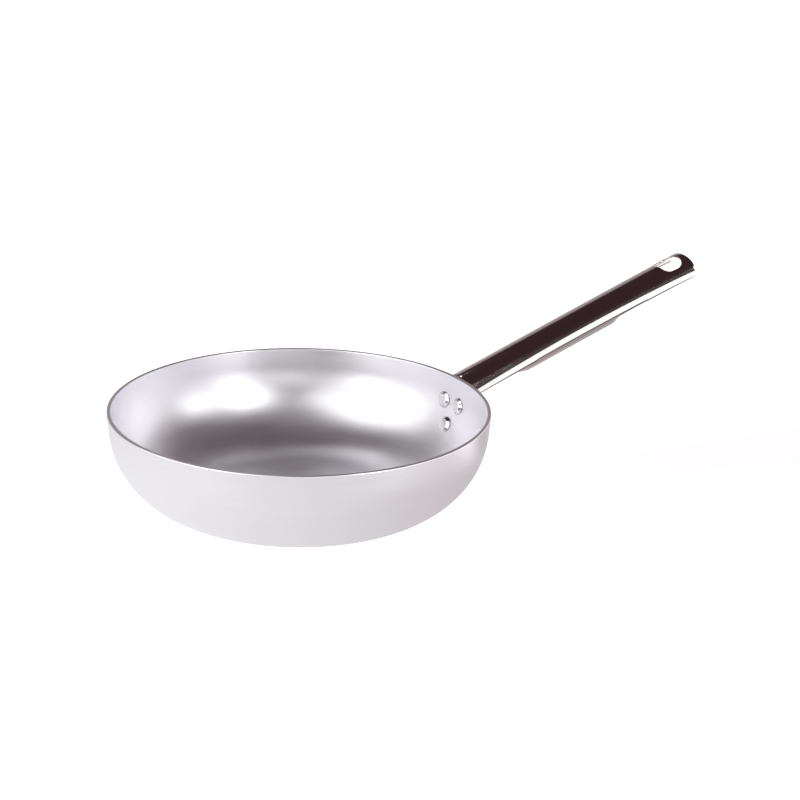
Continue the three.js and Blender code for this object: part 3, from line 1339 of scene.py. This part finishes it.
    def build_weld(self, finish: bpy.types.Material) -> bpy.types.Object:
        """Lays a bead on each side where the upper shell's root meets the plate.

        Args:
            finish: The weld's material.

        Returns:
            Both beads, as one mesh.
        """
        edge = self.crown_span + self.side_span
        points, chains = [], []
        for side in (1, -1):
            start = len(points)
            for i in range(self.bead_points + 1):
                across = side * edge * (1 - i / self.bead_points)
                point = self.upper(self.root_at(across), across)
                if point.z < self.plate.top - self.bead_radius:
                    points.append(point)
            chains.append(range(start, len(points)))
        beads = new_piece("root_weld", point_mesh("root_weld", points, chains))
        kinds = {
            "Bead Radius": "NodeSocketFloat",
            "Ripple": "NodeSocketFloat",
            "Finish": "NodeSocketMaterial",
        }
        tree = GeometryTree("weld_beads", kinds)
        wiring = tree.wiring
        path = wiring.signal("GeometryNodeMeshToCurve", None, {0: tree.take("Geometry")})
        sockets = {"Resolution": self.bead_sides, "Radius": tree.take("Bead Radius")}
        ring = wiring.signal("GeometryNodeCurvePrimitiveCircle", None, sockets)
        sockets = {"Curve": path, "Profile Curve": ring, "Fill Caps": True}
        rod = wiring.signal("GeometryNodeCurveToMesh", None, sockets)
        here = wiring.signal("GeometryNodeInputPosition")
        ripple = wiring.noise(here, self.ripples_per_metre, 1.0)
        bump = (ripple - NOISE_MIDDLE) * tree.take("Ripple")
        facing = wiring.signal("GeometryNodeInputNormal")
        sockets = {0: facing, "Scale": bump}
        lift = wiring.signal("ShaderNodeVectorMath", {"operation": "SCALE"}, sockets)
        tree.close(wiring.signal("GeometryNodeSetPosition", None, {0: rod, "Offset": lift}))
        values = {"Bead Radius": self.bead_radius, "Ripple": self.bead_ripple, "Finish": finish}
        tree.apply(beads, values)
        soften(beads.data)
        return beads


@dataclass(frozen=True)
class SoftLight:
    """A soft light that faces the rim's centre, placed as the camera sees it.

    The bearing runs anticlockwise from the right and the elevation up from the level, both in degrees. The
    glow is how bright the light's face is.
    """

    name: str
    bearing: float
    elevation: float
    distance: float
    width: float
    height: float
    glow: float

    @property
    def place(self) -> Vector:
        """Where the light hangs.

        Returns:
            Its place from the rim's centre, as the camera sees it.
        """
        bearing, rise = math.radians(self.bearing), math.radians(self.elevation)
        level = Vector((math.cos(bearing), math.sin(bearing), 0.0)) * math.cos(rise)
        return (level + Vector((0.0, 0.0, math.sin(rise)))) * self.distance


@dataclass(frozen=True)
class TableBand:
    """A band with soft edges, painted into the table's glow beside the handle, which mirrors it. It serves
    for the bands of painted light and for the painted shadow under the handle.

    Its place aside is given in heights of the handle above the table, and is negative on the near side. Its
    start and end are distances from the bowl's axis.
    """

    middle: float
    reach: float
    fade: float
    start: float
    start_fade: float
    end: float
    end_fade: float

    def share(self, along: Signal, aside: Signal) -> Signal:
        """Where the band lies.

        Args:
            along: Distance from the bowl's axis, along the handle.
            aside: Place aside, in heights of the handle.

        Returns:
            1 in the band and 0 outside it.
        """
        off = aside - self.middle
        inside = ((self.reach - off.math("ABSOLUTE", off)) / self.fade).held()
        begun = ((along - self.start) / self.start_fade).held()
        return inside * begun * ((self.end - along) / self.end_fade).held()


@dataclass(frozen=True)
class Studio:
    """The pale floor, the mirrored table, the soft lights, the dim room and the camera.

    Directions are given as the camera sees them: right, away and up. The lens and its sensor are in
    millimetres.
    """

    bowl: Bowl
    handle_bearing: float = math.radians(33.55)
    elevation: float = math.radians(19.274)
    roll: float = math.radians(1.363)
    distance: float = 1.5
    aim_right: float = 0.0732
    aim_up: float = 0.0046
    lens: float = 92.43
    sensor_width: float = 36.0
    clip_end: float = 100.0
    floor_size: float = 30.0
    floor_colour: Colour = (0.86, 0.86, 0.86)
    floor_roughness: float = 0.9
    floor_glow: float = 0.92
    # The table's glow is painted light and shade: bright on the left, painted shade on the right where the
    # pan and handle shadow it, and greyer far off.
    table_left: Colour = (0.99, 0.98, 0.98)
    table_right: Colour = (0.63, 0.575, 0.585)
    table_far: Colour = (0.55, 0.55, 0.56)
    table_lit: Colour = (1.75, 1.72, 1.72)
    # Colour of the painted shadow under the handle.
    table_shade: Colour = (0.10, 0.075, 0.08)
    table_right_side: tuple[float, float, float] = (1.0, 0.35, 0.0)
    table_centre: float = 0.001
    far_from: float = 0.30
    far_fade: float = 0.16
    # Where the painted lit patch lies.
    lit_bearing: float = math.radians(-15)
    lit_from: float = 0.72
    lit_fade: float = 0.2
    # About the handle's height above the table, which the bands go by: at the rim, and its growth outwards.
    mirror_height: float = 0.0583
    mirror_rise: float = 0.2468
    # Painted light in bands beside the handle and past its tip.
    side_light_band: TableBand = TableBand(-1.70, 0.55, 0.15, 0.20, 0.04, 15.0, 1.0)
    tip_light_band: TableBand = TableBand(0.25, 0.45, 0.10, 0.40, 0.03, 0.58, 0.03)
    # A painted shadow of the handle, under it.
    shade_band: TableBand = TableBand(-0.78, 0.42, 0.14, 0.20, 0.08, 0.54, 0.05)
    room_dark: Colour = (0.050, 0.026, 0.030)
    room_back: Colour = (0.47, 0.405, 0.42)
    room_front: Colour = (0.085, 0.065, 0.07)
    back_gain: float = 1.2
    back_offset: float = 0.3
    dark_above: float = 0.60
    dark_fade: float = 0.22
    lights: tuple[SoftLight, ...] = (
        SoftLight("left_far", 183.0, 35.0, 1.0, 0.35, 0.50, 1.95),
        SoftLight("left_window", 204.0, 49.0, 1.0, 0.35, 0.52, 1.75),
        SoftLight("left_near", 225.0, 42.0, 1.0, 0.35, 0.75, 1.45),
        SoftLight("left_low", 205.0, 11.0, 1.0, 1.05, 0.38, 2.20),
        SoftLight("left_front", 250.0, 20.0, 1.0, 0.35, 0.52, 1.10),
        SoftLight("left_front_high", 250.0, 42.0, 1.0, 0.35, 0.26, 2.80),
        SoftLight("front_left", 231.0, 5.0, 2.5, 1.00, 0.42, 4.80),
        SoftLight("front_low", 280.0, 5.0, 2.5, 1.12, 0.42, 3.60),
        SoftLight("front_right", 316.0, 5.0, 2.5, 0.62, 0.42, 9.80),
        SoftLight("right_strip", 312.8, 30.0, 2.5, 0.72, 0.50, 8.20),
        SoftLight("right_tall", 313.5, 31.0, 2.5, 0.66, 1.50, 2.30),
        SoftLight("right_panel", 348.5, 22.0, 2.5, 0.52, 1.00, 3.90),
        SoftLight("right_low", 30.0, 9.0, 1.0, 0.75, 0.26, 1.50),
        SoftLight("back_low", 110.0, 6.0, 1.0, 1.40, 0.18, 0.30),
        SoftLight("back_high", 101.0, 50.0, 1.0, 0.14, 0.12, 3.20),
    )

    def turned(self, place: Sequence[float]) -> Vector:
        """A direction given as the camera sees it, in the pan's frame."""
        return Matrix.Rotation(-self.handle_bearing, 3, "Z") @ Vector(place)

    @property
    def centre(self) -> Vector:
        """The rim's centre."""
        return Vector((0.0, 0.0, self.bowl.height))

    def build_camera(self) -> None:
        """Sets the camera at the photograph's viewing angle."""
        sine, cosine = math.sin(self.elevation), math.cos(self.elevation)
        right, up = Vector((1.0, 0.0, 0.0)), Vector((0.0, sine, cosine))
        level, tilt = math.cos(self.roll), math.sin(self.roll)
        side = self.turned(level * right + tilt * up)
        top = self.turned(level * up - tilt * right)
        ahead = self.turned((0.0, cosine, -sine))
        shift = side * self.aim_right + top * self.aim_up
        data = bpy.data.cameras.new("photo_camera")
        data.lens = self.lens
        data.sensor_width = self.sensor_width
        data.clip_end = self.clip_end
        camera = bpy.data.objects.new("photo_camera", data)
        bpy.context.scene.collection.objects.link(camera)
        turn = Matrix((side, top, -ahead)).transposed().to_4x4()
        camera.matrix_world = Matrix.Translation(self.centre + shift - ahead * self.distance) @ turn
        bpy.context.scene.camera = camera

    def sheet(self, name: str) -> tuple[bpy.types.Object, Wiring, bpy.types.Node]:
        """Lays a large matt white sheet under the pan.

        Args:
            name: The sheet's name.

        Returns:
            The sheet, its material's wiring and its shader.
        """
        half = self.floor_size / 2
        mesh = bpy.data.meshes.new(name)
        corners = [(-half, -half, 0.0), (half, -half, 0.0), (half, half, 0.0), (-half, half, 0.0)]
        mesh.from_pydata(corners, [], [(0, 1, 2, 3)])
        material = bpy.data.materials.new(name)
        material.use_nodes = True
        shader = material.node_tree.nodes["Principled BSDF"]
        shader.inputs["Base Color"].default_value = (*self.floor_colour, 1)
        shader.inputs["Roughness"].default_value = self.floor_roughness
        shader.inputs["Specular IOR Level"].default_value = 0.0
        shader.inputs["Emission Color"].default_value = WHITE
        mesh.materials.append(material)
        sheet = new_piece(name, mesh)
        return sheet, Wiring(material.node_tree), shader

    def build_floor(self) -> None:
        """Lays the pale floor, which the camera sees and the metal doesn't mirror."""
        floor, _, shader = self.sheet("floor")
        shader.inputs["Emission Strength"].default_value = self.floor_glow
        floor.visible_glossy = False
        floor.visible_diffuse = False

    def build_table(self) -> None:
        """Lays the table that the metal mirrors and the camera doesn't see, glowing with painted light and
        painted shade in place of lamps and shadows.
        """
        table, wiring, shader = self.sheet("mirrored_table")
        shader.inputs["Base Color"].default_value = BLACK
        shader.inputs["Emission Strength"].default_value = 1.0
        x, y, _ = wiring.axes(wiring.signal("ShaderNodeTexCoord", output="Object"))
        radius = (x * x + y * y) ** 0.5
        away = radius.math("MAXIMUM", radius, self.table_centre)
        side = self.turned(self.table_right_side).normalized()
        # Painted shade: the glow darkens towards the right, where the pan and handle shadow the table.
        right = ((x * side.x + y * side.y) / away * 0.5 + 0.5).held()
        near = wiring.blend(right, self.table_left, self.table_right)
        far = ((away - self.far_from) / self.far_fade).held()
        plain = wiring.mixed(far, near, (*self.table_far, 1))
        # A painted lit patch far out to the right.
        ahead = self.turned((math.cos(self.lit_bearing), math.sin(self.lit_bearing), 0.0))
        toward = (x * ahead.x + y * ahead.y) / away
        lit_patch = ((toward - self.lit_from) / self.lit_fade).held() * far
        aside = y / (self.mirror_height + (x - self.bowl.rim_radius) * self.mirror_rise)
        bands = self.side_light_band.share(x, aside) + self.tip_light_band.share(x, aside)
        lit = wiring.mixed((lit_patch + bands).held(), plain, (*self.table_lit, 1))
        # A painted shadow under the handle.
        shade = self.shade_band.share(x, aside)
        colour = wiring.mixed(shade, lit, (*self.table_shade, 1))
        wiring.link(colour, shader, "Emission Color")
        table.visible_camera = False

    def build_room(self) -> None:
        """Surrounds the pan with a dim room, paler low down behind the pan."""
        world = bpy.data.worlds.new("dim_room")
        world.use_nodes = True
        bpy.context.scene.world = world
        wiring = Wiring(world.node_tree)
        direction = wiring.signal("ShaderNodeTexCoord", output="Generated")
        x, y, z = wiring.axes(direction)
        back = self.turned((0.0, 1.0, 0.0))
        behind = ((x * back.x + y * back.y) * self.back_gain + self.back_offset).held()
        low = ((self.dark_above - z) / self.dark_fade).held()
        band = wiring.blend(behind, self.room_front, self.room_back)
        colour = wiring.mixed(low.smoothed(), (*self.room_dark, 1), band)
        wiring.link(colour, world.node_tree.nodes["Background"], "Color")

    def build_lights(self) -> None:
        """Hangs the soft lights, each facing the bowl."""
        for light in self.lights:
            data = bpy.data.lights.new(light.name, "AREA")
            data.shape = "RECTANGLE"
            data.size = light.width
            data.size_y = light.height
            data.energy = light.glow * math.pi * light.width * light.height
            lamp = bpy.data.objects.new(light.name, data)
            bpy.context.scene.collection.objects.link(lamp)
            away = self.turned(light.place)
            turn = away.to_track_quat("Z", "Y").to_matrix().to_4x4()
            lamp.matrix_world = Matrix.Translation(self.centre + away) @ turn
            lamp.visible_camera = False

    def build(self) -> None:
        """Builds all of it, the camera first."""
        self.build_camera()
        self.build_floor()
        self.build_table()
        self.build_room()
        self.build_lights()
        bpy.context.scene.view_settings.view_transform = "Standard"


def main() -> None:
    """Builds the studio and the pan's pieces in order, and puts them on the frame."""
    logging.basicConfig(level=logging.INFO, format="%(name)s: %(message)s")
    bowl = Bowl()
    Studio(bowl).build()
    plate = MountPlate(bowl)
    rivets = RivetSet(bowl)
    handle = Handle(bowl, plate)
    steel = PolishedSteel().material()
    satin = SatinAluminium().material()
    keep(bowl.build(rivets.drill(satin), satin), Slot.BOWL, "pan_body")
    keep(
        rivets.build(BrightRivet().material()),
        Slot.RIVET,
        "rivet_upper_left",
        "rivet_upper_right",
        "rivet_lower",
    )
    keep(plate.build(steel), Slot.HANDLE, "handle_mount_plate")
    keep(handle.build_upper(steel), Slot.HANDLE, "handle_upper_shell")
    keep(handle.build_palm(steel), Slot.HANDLE, "handle_lower_shell")
    keep(handle.build_weld(WeldBead().material()), Slot.HANDLE)


if __name__ == "__main__":
    main()
